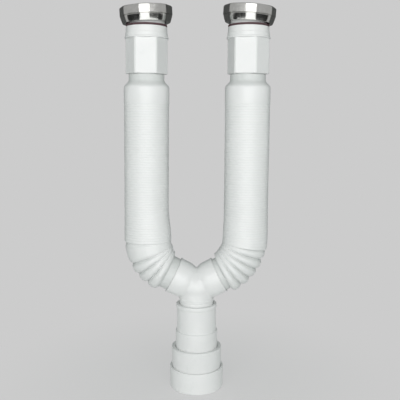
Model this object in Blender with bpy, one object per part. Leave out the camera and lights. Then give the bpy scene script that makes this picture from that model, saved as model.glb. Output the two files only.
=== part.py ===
"""Two-way extendable waste pipe: two blow-moulded bellows hoses rise from a Y junction to tails with
captive union nuts, and the junction's neck stands in a stepped outlet that takes the drain pipe.

Metres, +Z up. The outlet's axis is the Z axis and its lower rim stands on Z = 0.
"""

import math
from dataclasses import dataclass

import bmesh
import bpy
from mathutils import Matrix

MM = 0.001
SIDES = 20
HOSE_SIDES = 16
WELD = 1e-7

# Share of a rubber ring's section that its edges are eased by
RING_EASE = 0.2

# Clearances
SEAT = 0.3 * MM
SLIP = 0.35 * MM

# Drain socket, the lowest and widest step
DRAIN_OUTER = 27.35 * MM
DRAIN_BORE = 25.3 * MM
DRAIN_HEIGHT = 22.0 * MM
DRAIN_MOUTH_DEPTH = 14.0 * MM
DRAIN_STOP = 1.5 * MM
DRAIN_STOP_BORE = 22.0 * MM
DRAIN_EDGE = 2.4 * MM
DRAIN_EDGE_SHARES = (0.45, 0.1, 0.3)
DRAIN_POCKET_WALL = 1.5 * MM
DRAIN_SEAL_HEIGHT = 3.0 * MM
DRAIN_SEAL_DEPTH = 1.2 * MM
DRAIN_SEAL_LEVEL = 7.0 * MM

# Middle sleeve, which stands in the drain socket
SLEEVE_FOOT = 25.1 * MM
SLEEVE_RIM = 25.55 * MM
SLEEVE_HEIGHT = 26.9 * MM
SLEEVE_WALL = 2.05 * MM
SLEEVE_EDGE = 0.8 * MM
SLEEVE_LEDGE_LEVEL = 10.2 * MM
SLEEVE_LEDGE = 2.0 * MM
SLEEVE_LEDGE_BORE = 18.6 * MM

# Outlet tube, which stands in the middle sleeve
TUBE_LOWER = 21.3 * MM
TUBE_UPPER = 20.05 * MM
TUBE_WALL = 2.2 * MM
TUBE_STEP_LEVEL = 60.4 * MM
TUBE_TOP = 88.0 * MM
TUBE_LIP = 20.65 * MM
TUBE_LIP_HEIGHT = 4.0 * MM
TUBE_SEAL_HEIGHT = 3.0 * MM

# Y junction
NECK_OUTER = 17.0 * MM
NECK_BORE = 15.0 * MM
NECK_FOOT = 66.0 * MM
NECK_BEAD = 0.6 * MM
NECK_BEAD_LEVEL = 91.0 * MM
NECK_BEAD_HEIGHT = 2.4 * MM
NECK_SEAL_LEVEL = 78.0 * MM
NECK_SEAL_HEIGHT = 3.0 * MM
NECK_SEAL_DEPTH = 1.8 * MM
HUB_LEVEL = 106.0 * MM
BRANCH_RISE = math.radians(27.0)
BRANCH_OUTER = 18.5 * MM
BRANCH_BORE = 15.2 * MM
BRANCH_LENGTH = 26.0 * MM
BRANCH_SOCKET_DEPTH = 12.0 * MM
BRANCH_LIP = 0.4 * MM
HUB_CLEAR = BRANCH_OUTER * math.tan(BRANCH_RISE) + SEAT

# Hose
LEFT_OFFSET = 50.3 * MM
LEFT_BEND_RADIUS = 35.0 * MM
RIGHT_OFFSET = 49.7 * MM
RIGHT_BEND_RADIUS = 40.4 * MM
CUFF_OUTER = 17.05 * MM
HOSE_WALL = 1.4 * MM
FOLD_PEAK = 21.5 * MM
FOLD_VALLEY = 16.9 * MM
CLOSED_PEAK = 22.0 * MM
CLOSED_GROOVE = 0.35 * MM
CLOSED_PITCH = 2.4 * MM
TOP_CUFF_HEIGHT = 16.0 * MM
CLOSED_BORE = 17.4 * MM
SHOULDER_LEVEL = 305.0 * MM
SHOULDER_HEIGHT = 7.5 * MM
HOSE_NECK_OUTER = 16.6 * MM
RING_STEPS = 4
FOLD_FULLNESS = 2.4
CREST_SHARE = 0.35
GROOVE_SHARE = 0.8
SHOULDER_SHARES = (0.1, 0.6)
SEAL_HEIGHT = 2.0 * MM

# Tail connector
NECK_SHOWN = 6.0 * MM
TAIL_LEVEL = SHOULDER_LEVEL + SHOULDER_HEIGHT + NECK_SHOWN
TAIL_SOCKET_DEPTH = 24.0 * MM
TAIL_BORE = 15.2 * MM
HEX_CORNER = 20.8 * MM
HEX_ROUND = 20.3 * MM
HEX_HEIGHT = 33.5 * MM
LIP_OUTER = 21.2 * MM
LIP_HEIGHT = 1.2 * MM
BAND_OUTER = 20.5 * MM
BAND_HEIGHT = 3.6 * MM
COLLAR_TOP_OUTER = 19.8 * MM
COLLAR_HEIGHT = 10.8 * MM
THROAT_OUTER = 17.5 * MM
THROAT_HEIGHT = 7.8 * MM
FLANGE_OUTER = 19.0 * MM
FLANGE_HEIGHT = 2.4 * MM
TAIL_EDGE = 0.6 * MM

# Grip ring, sealing washer and union nut
GRIP_OUTER = 19.9 * MM
GRIP_HEIGHT = 1.8 * MM
WASHER_OUTER = 19.2 * MM
WASHER_BORE = 15.6 * MM
WASHER_HEIGHT = 2.3 * MM
NUT_CORNER = 25.75 * MM
NUT_SHOULDER_CORNER = 25.2 * MM
NUT_FOOT_CORNER = 23.3 * MM
NUT_HEIGHT = 15.0 * MM
NUT_SHOULDER_HEIGHT = 6.5 * MM
NUT_CHAMFER = 2.4 * MM
NUT_GROOVE = 0.5 * MM
NUT_FLOOR = 2.2 * MM
NUT_HOLE = 18.6 * MM
NUT_BORE = 20.4 * MM
NUT_TOP_EDGE = 0.6 * MM


@dataclass
class Arm:
    """One hose and what it carries. A lean or a tilt, in degrees, is positive away from the outlet."""

    name: str
    side: int
    offset: float
    bend_radius: float
    closed_deg: float
    folds: tuple
    lean_deg: float
    tail_turn_deg: float
    nut_tilt_deg: float


ARMS = (
    Arm("left", -1, LEFT_OFFSET, LEFT_BEND_RADIUS, 0.0, (2, 1, 1, 1), -0.65, 2.0, 2.5),
    Arm("right", 1, RIGHT_OFFSET, RIGHT_BEND_RADIUS, 10.0, (1, 1, 1, 1, 1), 0.3, -12.5, 4.0),
)


def clear_scene():
    for item in list(bpy.data.objects):
        bpy.data.objects.remove(item, do_unlink=True)


def material(name, colour, roughness, metallic=0.0):
    made = bpy.data.materials.new(name)
    made.use_nodes = True
    shader = made.node_tree.nodes["Principled BSDF"]
    shader.inputs["Base Color"].default_value = (*colour, 1.0)
    shader.inputs["Roughness"].default_value = roughness
    shader.inputs["Metallic"].default_value = metallic
    made.diffuse_color = (*colour, 1.0)
    return made


def finish_mesh(name, bm, paint=None, frame=Matrix.Identity(4)):
    """Object from a bmesh, its faces turned outward and shaded smooth between sharp edges."""
    bmesh.ops.remove_doubles(bm, verts=bm.verts, dist=WELD)
    bmesh.ops.recalc_face_normals(bm, faces=bm.faces)
    mesh = bpy.data.meshes.new(name)
    bm.to_mesh(mesh)
    bm.free()
    mesh.shade_smooth()
    mesh.set_sharp_from_angle(angle=math.radians(35))
    item = bpy.data.objects.new(name, mesh)
    bpy.context.scene.collection.objects.link(item)
    item.matrix_world = frame
    if paint:
        mesh.materials.append(paint)
    return item


def turned(name, outline, paint=None, frame=Matrix.Identity(4), sides=SIDES):
    """Outline of (radius, height) points turned once round Z. It may start and end on the axis."""
    bm = bmesh.new()
    points = [bm.verts.new((radius, 0, height)) for radius, height in outline]
    edges = [bm.edges.new(pair) for pair in zip(points, points[1:])]
    if outline[0][0] > 0:
        edges.append(bm.edges.new((points[-1], points[0])))
    bmesh.ops.spin(
        bm, geom=points + edges, cent=(0, 0, 0), axis=(0, 0, 1), angle=math.tau, steps=sides, use_merge=True
    )
    return finish_mesh(name, bm, paint, frame)


def ring(name, inner, outer, foot, height, paint, frame=Matrix.Identity(4)):
    """Rubber ring with its outer edges eased."""
    ease = RING_EASE * min(outer - inner, height)
    top = foot + height
    outline = (
        (inner, foot),
        (outer - ease, foot),
        (outer, foot + ease),
        (outer, top - ease),
        (outer - ease, top),
        (inner, top),
    )
    return turned(name, outline, paint, frame)


def bridge(bm, lower, upper):
    """Faces between each pair of loops of points that run the same way round."""
    for low, high in zip(lower, upper):
        for index in range(len(low)):
            after = (index + 1) % len(low)
            bm.faces.new((low[index], low[after], high[after], high[index]))


def cut(item, tool, operation="DIFFERENCE"):
    """Boolean of item with a helper that isn't itself part of the model."""
    tool.hide_render = True
    tool.display_type = "WIRE"
    step = item.modifiers.new(tool.name, "BOOLEAN")
    step.operation = operation
    step.solver = "EXACT"
    step.object = tool


def leaning(side, out, level, angle):
    """Frame at a distance out from the outlet's axis, whose Z leans outward by an angle."""
    return Matrix.Translation((side * out, 0, level)) @ Matrix.Rotation(side * angle, 4, "Y")


# Outlet, from the floor up


def drain_socket(paint):
    stop_top = DRAIN_MOUTH_DEPTH + DRAIN_STOP
    pocket = DRAIN_OUTER - DRAIN_POCKET_WALL
    groove_top = DRAIN_SEAL_LEVEL + DRAIN_SEAL_HEIGHT + 2 * SEAT
    groove = DRAIN_BORE + DRAIN_SEAL_DEPTH
    foot_share, side_share, ease_share = DRAIN_EDGE_SHARES
    ease = ease_share * DRAIN_EDGE
    outline = (
        (DRAIN_BORE, 0),
        (DRAIN_OUTER - foot_share * DRAIN_EDGE, 0),
        (DRAIN_OUTER - side_share * DRAIN_EDGE, ease),
        (DRAIN_OUTER, DRAIN_EDGE),
        (DRAIN_OUTER, DRAIN_HEIGHT - ease),
        (DRAIN_OUTER - DRAIN_POCKET_WALL / 2, DRAIN_HEIGHT),
        (pocket, DRAIN_HEIGHT),
        (pocket, stop_top),
        (DRAIN_STOP_BORE, stop_top),
        (DRAIN_STOP_BORE, DRAIN_MOUTH_DEPTH),
        (DRAIN_BORE, DRAIN_MOUTH_DEPTH),
        (DRAIN_BORE, groove_top),
        (groove, groove_top),
        (groove, DRAIN_SEAL_LEVEL),
        (DRAIN_BORE, DRAIN_SEAL_LEVEL),
    )
    return turned("drain_socket", outline, paint)


def drain_seal(paint):
    outer = DRAIN_BORE + DRAIN_SEAL_DEPTH - SEAT
    inner = DRAIN_BORE - DRAIN_SEAL_DEPTH / 2
    return ring("drain_seal", inner, outer, DRAIN_SEAL_LEVEL + SEAT, DRAIN_SEAL_HEIGHT, paint)


SLEEVE_LEVEL = DRAIN_MOUTH_DEPTH + DRAIN_STOP + SEAT
SLEEVE_MOUTH = SLEEVE_RIM - SLEEVE_WALL
TUBE_FOOT = SLEEVE_LEVEL + SLEEVE_LEDGE_LEVEL + SEAT


def middle_sleeve(paint):
    top = SLEEVE_LEVEL + SLEEVE_HEIGHT
    ledge = SLEEVE_LEVEL + SLEEVE_LEDGE_LEVEL
    under = ledge - SLEEVE_LEDGE
    foot_bore = SLEEVE_FOOT - SLEEVE_WALL
    outline = (
        (foot_bore, SLEEVE_LEVEL),
        (SLEEVE_FOOT, SLEEVE_LEVEL),
        (SLEEVE_FOOT, DRAIN_HEIGHT),
        (SLEEVE_RIM, top - 2 * SLEEVE_EDGE),
        (SLEEVE_RIM - SLEEVE_EDGE, top),
        (SLEEVE_MOUTH, top),
        (SLEEVE_MOUTH, ledge),
        (SLEEVE_LEDGE_BORE, ledge),
        (SLEEVE_LEDGE_BORE, under),
        (foot_bore, under),
    )
    return turned("middle_sleeve", outline, paint)


def tube_seal(paint):
    return ring("tube_seal", TUBE_LOWER + SLIP, SLEEVE_MOUTH - SEAT, TUBE_FOOT, TUBE_SEAL_HEIGHT, paint)


def outlet_tube(paint):
    socket = NECK_OUTER + SLIP
    stop = NECK_FOOT - SEAT
    bore = TUBE_UPPER - TUBE_WALL
    groove = NECK_OUTER + NECK_SEAL_DEPTH + SEAT
    groove_top = NECK_SEAL_LEVEL + NECK_SEAL_HEIGHT + 2 * SEAT
    lip_foot = TUBE_TOP - TUBE_LIP_HEIGHT
    edge = TUBE_LIP - TUBE_UPPER
    outline = (
        (TUBE_LOWER - TUBE_WALL, TUBE_FOOT),
        (TUBE_LOWER, TUBE_FOOT),
        (TUBE_LOWER, TUBE_STEP_LEVEL - edge),
        (TUBE_UPPER, TUBE_STEP_LEVEL),
        (TUBE_UPPER, lip_foot),
        (TUBE_LIP, lip_foot + edge),
        (TUBE_LIP, TUBE_TOP - edge),
        (TUBE_LIP - edge, TUBE_TOP),
        (socket, TUBE_TOP),
        (socket, groove_top),
        (groove, groove_top),
        (groove, NECK_SEAL_LEVEL),
        (socket, NECK_SEAL_LEVEL),
        (socket, stop),
        (NECK_BORE, stop),
        (NECK_BORE, stop - TUBE_WALL),
        (bore, stop - 2 * TUBE_WALL),
        (TUBE_LOWER - TUBE_WALL, TUBE_STEP_LEVEL - 2 * TUBE_WALL),
    )
    return turned("outlet_tube", outline, paint)


def neck_seal(paint):
    inner = NECK_OUTER + SEAT
    outer = NECK_OUTER + NECK_SEAL_DEPTH
    return ring("neck_seal", inner, outer, NECK_SEAL_LEVEL + SEAT, NECK_SEAL_HEIGHT, paint)


# Y junction


def branch_frame(arm, along):
    """Frame on a branch's axis, at a distance along it from the hub, with Z pointing outward."""
    out = along * math.cos(BRANCH_RISE)
    level = HUB_LEVEL + along * math.sin(BRANCH_RISE)
    return leaning(arm.side, out, level, math.pi / 2 - BRANCH_RISE)


def branches_form(name, outline):
    """Closed V of two round tubes, mitred at the hub. The outline is (along, radius) per branch."""
    bm = bmesh.new()
    half_turn = Matrix.Rotation(math.pi, 4, "Y")
    left, right = ARMS
    places = [(branch_frame(left, along) @ half_turn, radius) for along, radius in reversed(outline)]
    mitre = Matrix.Translation((0, 0, HUB_LEVEL)) @ Matrix.Rotation(math.pi / 2, 4, "Y")
    places.append((mitre @ Matrix.Diagonal((1 / math.cos(BRANCH_RISE), 1, 1, 1)), outline[0][1]))
    places += [(branch_frame(right, along), radius) for along, radius in outline]
    loops = [
        bmesh.ops.create_circle(bm, segments=SIDES, radius=radius, matrix=frame)["verts"]
        for frame, radius in places
    ]
    bridge(bm, loops, loops[1:])
    bm.faces.new(loops[0])
    bm.faces.new(loops[-1])
    return finish_mesh(name, bm)


def y_junction(paint):
    bead_top = NECK_BEAD_LEVEL + NECK_BEAD_HEIGHT
    neck = (
        (0, NECK_FOOT),
        (NECK_OUTER - NECK_BEAD, NECK_FOOT),
        (NECK_OUTER, NECK_FOOT + 2 * NECK_BEAD),
        (NECK_OUTER, NECK_BEAD_LEVEL),
        (NECK_OUTER + NECK_BEAD, NECK_BEAD_LEVEL + NECK_BEAD),
        (NECK_OUTER + NECK_BEAD, bead_top),
        (NECK_OUTER, bead_top + NECK_BEAD),
        (NECK_OUTER, HUB_LEVEL),
        (0, HUB_LEVEL),
    )
    branches = (
        (HUB_CLEAR, BRANCH_OUTER),
        (BRANCH_LENGTH - 3 * BRANCH_LIP, BRANCH_OUTER),
        (BRANCH_LENGTH - 2 * BRANCH_LIP, BRANCH_OUTER + BRANCH_LIP),
        (BRANCH_LENGTH, BRANCH_OUTER + BRANCH_LIP),
    )
    socket_floor = BRANCH_LENGTH - BRANCH_SOCKET_DEPTH
    socket = CUFF_OUTER + SLIP
    hollow = (
        (HUB_CLEAR, BRANCH_BORE),
        (socket_floor, BRANCH_BORE),
        (socket_floor, socket),
        (BRANCH_LENGTH + SEAT, socket),
    )
    bore = ((0, NECK_FOOT - SEAT), (NECK_BORE, NECK_FOOT - SEAT), (NECK_BORE, HUB_LEVEL), (0, HUB_LEVEL))
    body = turned("y_junction", neck, paint)
    cut(body, branches_form("branches_form", branches), "UNION")
    cut(body, turned("neck_bore_form", bore))
    cut(body, branches_form("branches_hollow", hollow))
    return body


def branch_seal(arm, paint):
    foot = BRANCH_LENGTH - BRANCH_SOCKET_DEPTH + SEAT
    frame = branch_frame(arm, foot)
    return ring(f"{arm.name}_branch_seal", BRANCH_BORE, CUFF_OUTER, 0, SEAL_HEIGHT, paint, frame)


# Hose


def bend_angle(arm):
    return math.pi / 2 - BRANCH_RISE - math.radians(arm.lean_deg)


def bend_start(arm):
    """Distance along the branch's axis from the hub to where the hose starts to bend."""
    lean = math.radians(arm.lean_deg)
    reach = arm.bend_radius * (math.cos(lean) - math.sin(BRANCH_RISE))
    return (arm.offset - reach) / math.cos(BRANCH_RISE)


def bend_centre(arm):
    start = bend_start(arm)
    out = start * math.cos(BRANCH_RISE) - arm.bend_radius * math.sin(BRANCH_RISE)
    level = HUB_LEVEL + start * math.sin(BRANCH_RISE) + arm.bend_radius * math.cos(BRANCH_RISE)
    return out, level


def bend_frame(arm, angle):
    """Frame on the hose's axis, an angle on from the start of its bend."""
    out, level = bend_centre(arm)
    heading = BRANCH_RISE + angle
    out += arm.bend_radius * math.sin(heading)
    level -= arm.bend_radius * math.cos(heading)
    return leaning(arm.side, out, level, math.pi / 2 - heading)


def upright_frame(arm, level):
    """Frame on the straight arm's axis, as far up its axis as the level is above the end of the bend."""
    end = bend_frame(arm, bend_angle(arm))
    return end @ Matrix.Translation((0, 0, level - end.translation.z))


def hose_frame(arm, along):
    """Frame on the hose's axis, at a distance along it from the hub."""
    start = bend_start(arm)
    length = bend_angle(arm) * arm.bend_radius
    if along < start:
        return branch_frame(arm, along)
    if along < start + length:
        return bend_frame(arm, (along - start) / arm.bend_radius)
    return bend_frame(arm, bend_angle(arm)) @ Matrix.Translation((0, 0, along - start - length))


def open_folds(arm, inset):
    """(distance, radius) of the opened folds, from the branch up. A fold of two shares is pulled flat."""
    start = bend_start(arm)
    span = (bend_angle(arm) - math.radians(arm.closed_deg)) * arm.bend_radius
    share = span / sum(arm.folds)
    found = []
    for shares in reversed(arm.folds):
        steps = RING_STEPS + shares - 1
        for step in range(steps):
            across = 2 * step / steps - 1
            bulge = 1 - abs(across) ** (FOLD_FULLNESS * shares)
            radius = FOLD_VALLEY + (FOLD_PEAK - FOLD_VALLEY) * bulge
            found.append((start + share * shares * step / steps, radius - inset))
        start += share * shares
    return found, start


def hose_outside(arm):
    """(distance, radius) from the cuff's end inside the junction to the neck's end inside the tail."""
    cuff_end = BRANCH_LENGTH - BRANCH_SOCKET_DEPTH + SEAL_HEIGHT + 2 * SEAT
    cuff_edge = HOSE_WALL / 2
    found = [(cuff_end, CUFF_OUTER - cuff_edge), (cuff_end + cuff_edge, CUFF_OUTER)]
    found.append((bend_start(arm) - cuff_edge, CUFF_OUTER))
    folds, closed_start = open_folds(arm, 0)
    found += folds
    top = bend_start(arm) + bend_angle(arm) * arm.bend_radius - upright_end_level(arm)
    shoulder = top + SHOULDER_LEVEL
    folded = shoulder - TOP_CUFF_HEIGHT - closed_start
    count = round(folded / CLOSED_PITCH)
    pitch = folded / count
    found.append((closed_start, FOLD_VALLEY))
    for fold in range(count):
        found.append((closed_start + pitch * (fold + CREST_SHARE), CLOSED_PEAK))
        found.append((closed_start + pitch * (fold + GROOVE_SHARE), CLOSED_PEAK - CLOSED_GROOVE))
    neck_foot = shoulder + SHOULDER_HEIGHT
    found.append((shoulder - TOP_CUFF_HEIGHT + CLOSED_GROOVE, CLOSED_PEAK))
    found.append((shoulder + SHOULDER_SHARES[0] * SHOULDER_HEIGHT, CLOSED_PEAK))
    found.append((shoulder + SHOULDER_SHARES[1] * SHOULDER_HEIGHT, (CLOSED_PEAK + HOSE_NECK_OUTER) / 2))
    found.append((neck_foot, HOSE_NECK_OUTER))
    found.append((top + TAIL_LEVEL + TAIL_SOCKET_DEPTH - SEAL_HEIGHT - 2 * SEAT, HOSE_NECK_OUTER))
    return found


def hose_inside(arm):
    """(distance, radius) of the bore, back from the neck's end to the cuff's end."""
    outside = hose_outside(arm)
    top = bend_start(arm) + bend_angle(arm) * arm.bend_radius - upright_end_level(arm)
    folds, closed_start = open_folds(arm, HOSE_WALL)
    shoulder = top + SHOULDER_LEVEL
    neck_bore = HOSE_NECK_OUTER - HOSE_WALL
    cuff_bore = CUFF_OUTER - HOSE_WALL
    found = [(outside[-1][0], neck_bore), (shoulder + SHOULDER_HEIGHT, neck_bore)]
    found.append((shoulder, CLOSED_BORE))
    found.append((closed_start + HOSE_WALL, CLOSED_BORE))
    found += reversed(folds)
    found.append((bend_start(arm) - HOSE_WALL, cuff_bore))
    found.append((outside[0][0], cuff_bore))
    return found


def upright_end_level(arm):
    return bend_frame(arm, bend_angle(arm)).translation.z


def hose(arm, paint):
    """One blown piece: cuff, opened folds round the bend, closed folds up the arm, shoulder and neck."""
    bm = bmesh.new()
    loops = []
    for along, radius in hose_outside(arm) + hose_inside(arm):
        frame = hose_frame(arm, along)
        circle = bmesh.ops.create_circle(bm, segments=HOSE_SIDES, radius=radius, matrix=frame)
        loops.append(circle["verts"])
    bridge(bm, loops, loops[1:] + loops[:1])
    return finish_mesh(f"{arm.name}_hose", bm, paint)


# Tail, seals and union nut


def tail_frame(arm):
    return upright_frame(arm, TAIL_LEVEL) @ Matrix.Rotation(math.radians(arm.tail_turn_deg), 4, "Z")


COLLAR_TOP = HEX_HEIGHT + COLLAR_HEIGHT
FLANGE_FOOT = COLLAR_TOP + THROAT_HEIGHT
FLANGE_TOP = FLANGE_FOOT + FLANGE_HEIGHT


def tail_connector(arm, paint):
    socket = HOSE_NECK_OUTER + SLIP
    lip_top = HEX_HEIGHT + LIP_HEIGHT
    band_top = lip_top + BAND_HEIGHT
    outline = (
        (socket, 0),
        (HEX_ROUND - TAIL_EDGE, 0),
        (HEX_ROUND, TAIL_EDGE),
        (HEX_ROUND, HEX_HEIGHT),
        (LIP_OUTER, HEX_HEIGHT),
        (LIP_OUTER, lip_top),
        (BAND_OUTER, lip_top),
        (BAND_OUTER, band_top - TAIL_EDGE),
        (BAND_OUTER - TAIL_EDGE / 2, band_top),
        (COLLAR_TOP_OUTER, COLLAR_TOP - TAIL_EDGE),
        (COLLAR_TOP_OUTER - TAIL_EDGE, COLLAR_TOP),
        (THROAT_OUTER, COLLAR_TOP),
        (THROAT_OUTER, FLANGE_FOOT),
        (FLANGE_OUTER, FLANGE_FOOT),
        (FLANGE_OUTER, FLANGE_TOP),
        (TAIL_BORE, FLANGE_TOP),
        (TAIL_BORE, TAIL_SOCKET_DEPTH),
        (socket, TAIL_SOCKET_DEPTH),
    )
    body = turned(f"{arm.name}_tail_connector", outline, paint, tail_frame(arm))
    stock = 2 * HEX_CORNER
    flats = ((HEX_CORNER, -SEAT), (stock, -SEAT), (stock, HEX_HEIGHT), (HEX_CORNER, HEX_HEIGHT))
    cut(body, turned(f"{arm.name}_hex_form", flats, frame=tail_frame(arm), sides=6))
    return body


def hose_seal(arm, paint):
    foot = TAIL_SOCKET_DEPTH - SEAL_HEIGHT - SEAT
    inner = HOSE_NECK_OUTER - HOSE_WALL
    return ring(f"{arm.name}_hose_seal", inner, HOSE_NECK_OUTER, foot, SEAL_HEIGHT, paint, tail_frame(arm))


def grip_ring(arm, paint):
    inner = THROAT_OUTER + SLIP
    return ring(
        f"{arm.name}_grip_ring", inner, GRIP_OUTER, COLLAR_TOP + SEAT, GRIP_HEIGHT, paint, tail_frame(arm)
    )


def sealing_washer(arm, paint):
    return ring(
        f"{arm.name}_sealing_washer", WASHER_BORE, WASHER_OUTER, FLANGE_TOP + SEAT, WASHER_HEIGHT, paint,
        tail_frame(arm),
    )


def nut_frame(arm):
    """The nut hangs askew: one side of its floor rests on the grip ring."""
    tilt = math.radians(arm.nut_tilt_deg - arm.lean_deg)
    rise = COLLAR_TOP + SEAT + GRIP_HEIGHT + SEAT + GRIP_OUTER * math.sin(tilt)
    return upright_frame(arm, TAIL_LEVEL + rise) @ Matrix.Rotation(arm.side * tilt, 4, "Y")


def union_nut(arm, paint):
    groove_foot = NUT_SHOULDER_HEIGHT - NUT_GROOVE
    outside = (
        (0, 0),
        (NUT_FOOT_CORNER, 0),
        (NUT_SHOULDER_CORNER, NUT_CHAMFER),
        (NUT_SHOULDER_CORNER, groove_foot),
        (NUT_SHOULDER_CORNER - NUT_GROOVE, NUT_SHOULDER_HEIGHT),
        (NUT_CORNER, NUT_SHOULDER_HEIGHT + NUT_GROOVE),
        (NUT_CORNER, NUT_HEIGHT - NUT_TOP_EDGE),
        (NUT_CORNER - NUT_TOP_EDGE, NUT_HEIGHT),
        (0, NUT_HEIGHT),
    )
    hollow = (
        (0, -SEAT),
        (NUT_HOLE, -SEAT),
        (NUT_HOLE, NUT_FLOOR),
        (NUT_BORE, NUT_FLOOR),
        (NUT_BORE, NUT_HEIGHT - NUT_TOP_EDGE),
        (NUT_BORE + NUT_TOP_EDGE, NUT_HEIGHT),
        (NUT_BORE + NUT_TOP_EDGE, NUT_HEIGHT + SEAT),
        (0, NUT_HEIGHT + SEAT),
    )
    body = turned(f"{arm.name}_union_nut", outside, paint, nut_frame(arm), sides=8)
    cut(body, turned(f"{arm.name}_nut_hollow", hollow, frame=nut_frame(arm)))
    return body


def build():
    clear_scene()
    white = material("white_plastic", (0.85, 0.87, 0.86), 0.32)
    chrome = material("chrome_plate", (0.78, 0.79, 0.77), 0.12, 1.0)
    maroon = material("maroon_rubber", (0.11, 0.04, 0.05), 0.6)
    black = material("black_rubber", (0.03, 0.03, 0.03), 0.6)
    drain_socket(white)
    drain_seal(black)
    middle_sleeve(white)
    tube_seal(black)
    outlet_tube(white)
    neck_seal(black)
    y_junction(white)
    for arm in ARMS:
        branch_seal(arm, black)
        hose(arm, white)
        hose_seal(arm, black)
        tail_connector(arm, white)
        grip_ring(arm, maroon)
        sealing_washer(arm, maroon)
        union_nut(arm, chrome)


build()
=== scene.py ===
# %% [markdown]
# Two-way extendable waste pipe, dressed for its portrait
# This lesson takes the engineering model of a white plastic waste pipe with two bellows arms and gives every
# surface the look of the real product. The first cell loads that model as a fixed frame. Nothing in it is
# moved or resized: each new piece is built where the model says, and every piece but the hoses rides on one
# of the model's bodies, and so follows its moves.

# %% Load the frame
import math
from dataclasses import dataclass

import bpy
from mathutils import Matrix, Vector


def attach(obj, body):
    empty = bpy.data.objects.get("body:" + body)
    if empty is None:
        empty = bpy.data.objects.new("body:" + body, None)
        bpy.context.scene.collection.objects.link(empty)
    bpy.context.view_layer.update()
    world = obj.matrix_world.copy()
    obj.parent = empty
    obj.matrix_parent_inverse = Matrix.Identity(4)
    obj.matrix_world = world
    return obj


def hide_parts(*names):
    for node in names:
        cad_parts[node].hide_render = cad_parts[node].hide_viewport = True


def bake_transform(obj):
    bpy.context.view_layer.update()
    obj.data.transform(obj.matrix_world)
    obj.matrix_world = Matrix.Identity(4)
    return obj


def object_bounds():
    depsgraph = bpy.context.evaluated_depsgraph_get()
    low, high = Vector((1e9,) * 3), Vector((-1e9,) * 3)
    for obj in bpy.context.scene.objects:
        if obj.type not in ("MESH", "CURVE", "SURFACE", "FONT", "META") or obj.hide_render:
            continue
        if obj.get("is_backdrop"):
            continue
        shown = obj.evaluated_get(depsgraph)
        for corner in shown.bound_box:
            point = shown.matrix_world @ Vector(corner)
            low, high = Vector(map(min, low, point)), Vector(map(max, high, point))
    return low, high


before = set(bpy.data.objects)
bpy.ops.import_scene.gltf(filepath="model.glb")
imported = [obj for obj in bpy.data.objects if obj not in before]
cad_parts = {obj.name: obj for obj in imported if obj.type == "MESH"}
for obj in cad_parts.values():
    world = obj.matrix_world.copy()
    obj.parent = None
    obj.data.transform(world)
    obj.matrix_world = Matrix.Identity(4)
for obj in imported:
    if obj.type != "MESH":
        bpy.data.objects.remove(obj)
CAD_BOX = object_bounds()
MM = 0.001


def in_mm(places):
    return [[round(value / MM, 1) for value in place] for place in places]


print("CAD box in mm:", in_mm(CAD_BOX))

# %% [markdown]
# The camera
# The product was photographed from a little above its middle, so the ellipses of the
# steps at the foot open upwards and those of the nuts nearly close. The camera's place,
# tilt and focal length come from those ellipses and from the object's height in the frame,
# so the picture and the photograph can be laid over each other.

# %% Camera
CAMERA_PLACE = Vector((3.7, -600.0, 275.0)) * MM
CAMERA_PITCH = math.radians(-7.65)
FOCAL_LENGTH = 54.27
SENSOR_WIDTH = 36.0

camera_data = bpy.data.cameras.new("portrait_camera")
camera_data.lens = FOCAL_LENGTH
camera_data.sensor_width = SENSOR_WIDTH
camera = bpy.data.objects.new("portrait_camera", camera_data)
camera.location = CAMERA_PLACE
camera.rotation_euler = (math.radians(90.0) + CAMERA_PITCH, 0.0, 0.0)
bpy.context.scene.collection.objects.link(camera)
bpy.context.scene.camera = camera
bpy.context.scene.view_settings.view_transform = "Standard"
print("camera at", [round(value, 3) for value in camera.location])

# %% [markdown]
# Shader arithmetic
# A material is a graph of nodes. Wired by hand it is hard to read, so one small class
# wraps a socket and lets ordinary Python arithmetic add the Math nodes: 1 - mask works,
# and so does 0.3 + 0.1 * grain. Every other node comes from one method of a second class.

# %% Shader classes
class Wire:
    """An output socket that takes part in Python arithmetic."""

    def __init__(self, paint, socket):
        self.paint = paint
        self.socket = socket

    def worked(self, operation, first, second):
        return self.paint.node("ShaderNodeMath", {"operation": operation}, {0: first, 1: second})

    def __add__(self, other):
        return self.worked("ADD", self, other)

    def __radd__(self, other):
        return self.worked("ADD", other, self)

    def __sub__(self, other):
        return self.worked("SUBTRACT", self, other)

    def __rsub__(self, other):
        return self.worked("SUBTRACT", other, self)

    def __mul__(self, other):
        return self.worked("MULTIPLY", self, other)

    def __rmul__(self, other):
        return self.worked("MULTIPLY", other, self)


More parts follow.
